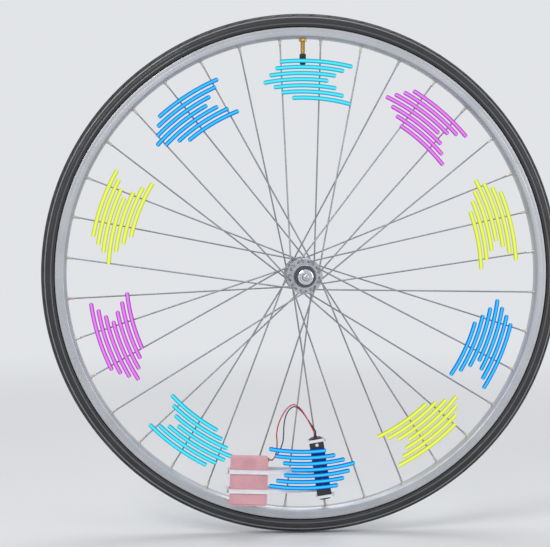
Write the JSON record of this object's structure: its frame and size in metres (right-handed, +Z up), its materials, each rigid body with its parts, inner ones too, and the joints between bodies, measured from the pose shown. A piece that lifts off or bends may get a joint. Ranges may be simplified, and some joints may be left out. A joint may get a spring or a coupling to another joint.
{
  "type": "spoke wheel light",
  "caption": "Battery box and bar of light-emitting diodes strapped to a laced bicycle wheel, which spins on its axle so that the row of lights draws figures in the air.",
  "frame": {"origin": "centre of the wheel, on the axle, midway between the fork ends", "axes": "+Y along the axle to the far side, +Z up, +X to the right as the light is seen; the light hangs at the bottom of the wheel on the -Y side"},
  "size_m": [0.6699, 0.144, 0.6698],
  "materials": {
    "axle_steel": "zinc plated, threaded",
    "cone_steel": "ground bearing steel",
    "nut_steel": "bright zinc plate",
    "nut_chrome": "bright chrome",
    "ball_steel": "polished",
    "hub_alloy": "polished",
    "cap_alloy": "pressed",
    "spoke_steel": "drawn stainless wire",
    "nipple_brass": "nickel plated",
    "rim_alloy": "anodised, machined edges",
    "tape_cloth": "matt",
    "tube_rubber": "powdered",
    "tyre_rubber": "matt tread, glossy sidewall",
    "valve_brass": "turned",
    "cap_plastic": "moulded",
    "box_plastic": "satin moulding",
    "cell_case": "printed sleeve",
    "contact_brass": "bright",
    "grommet_rubber": "matt",
    "strap_nylon": "natural nylon",
    "bar_plastic": "fine texture",
    "seal_rubber": "matt",
    "screw_steel": "zinc plated",
    "board_laminate": "solder resist",
    "diode_resin": "clear, lit",
    "chip_resin": "moulded",
    "switch_can": "plated can",
    "button_plastic": "moulded",
    "red_sheath": "smooth",
    "black_sheath": "smooth"
  },
  "bodies": {
    "axle_set": {"axle": "axle_steel", "left_cone": "cone_steel", "right_cone": "cone_steel", "lock_washers": "nut_steel", "left_locknut": "nut_steel", "right_locknut": "nut_steel", "serrated_washers": "nut_steel", "left_axle_nut": "nut_chrome", "right_axle_nut": "nut_chrome"},
    "left_balls": {"left_bearing_balls": "ball_steel"},
    "right_balls": {"right_bearing_balls": "ball_steel"},
    "wheel": {"hub_shell": "hub_alloy", "left_dust_cap": "cap_alloy", "right_dust_cap": "cap_alloy", "left_inner_spokes": "spoke_steel", "left_outer_spokes": "spoke_steel", "right_inner_spokes": "spoke_steel", "right_outer_spokes": "spoke_steel", "nipples": "nipple_brass", "rim": "rim_alloy", "rim_tape": "tape_cloth", "inner_tube": "tube_rubber", "tyre": "tyre_rubber", "valve_stem": "valve_brass", "valve_nut": "valve_brass", "valve_cap": "cap_plastic", "box_base": "box_plastic", "cells": "cell_case", "contact_springs": "contact_brass", "contact_plates": "contact_brass", "box_grommet": "grommet_rubber", "inner_box_strap": "strap_nylon", "outer_box_strap": "strap_nylon", "bar_back_shell": "bar_plastic", "bar_seal": "seal_rubber", "bar_front_shell": "bar_plastic", "bar_screws": "screw_steel", "bar_grommet": "grommet_rubber", "circuit_board": "board_laminate", "diodes": "diode_resin", "controller_chip": "chip_resin", "motion_switch": "switch_can", "board_parts": "chip_resin", "button_switch": "chip_resin", "inner_bar_strap": "strap_nylon", "outer_bar_strap": "strap_nylon", "red_lead": "red_sheath", "black_lead": "black_sheath"},
    "cover": {"box_cover": "box_plastic"},
    "button": {"mode_button": "button_plastic"}
  },
  "joints": [
    {"name": "wheel_spin", "type": "hinge", "parent": "axle_set", "child": "wheel", "pos_m": [0, 0, 0], "axis": [0, 1, 0], "continuous": true},
    {"name": "left_ball_roll", "type": "hinge", "parent": "axle_set", "child": "left_balls", "pos_m": [0, 0, 0], "axis": [0, 1, 0], "continuous": true},
    {"name": "right_ball_roll", "type": "hinge", "parent": "axle_set", "child": "right_balls", "pos_m": [0, 0, 0], "axis": [0, 1, 0], "continuous": true},
    {"name": "cover_slide", "type": "slide", "parent": "wheel", "child": "cover", "axis": [0.0349, 0, 0.9994], "range_m": [0, 0.055]},
    {"name": "button_press", "type": "slide", "parent": "wheel", "child": "button", "axis": [0, 1, 0], "range_m": [0, 0.0006], "stiffness_N_per_m": 400}
  ],
  "couplings": [
    {"joint": "left_ball_roll", "follows": "wheel_spin", "ratio": 0.6376},
    {"joint": "right_ball_roll", "follows": "wheel_spin", "ratio": 0.6376}
  ]
}
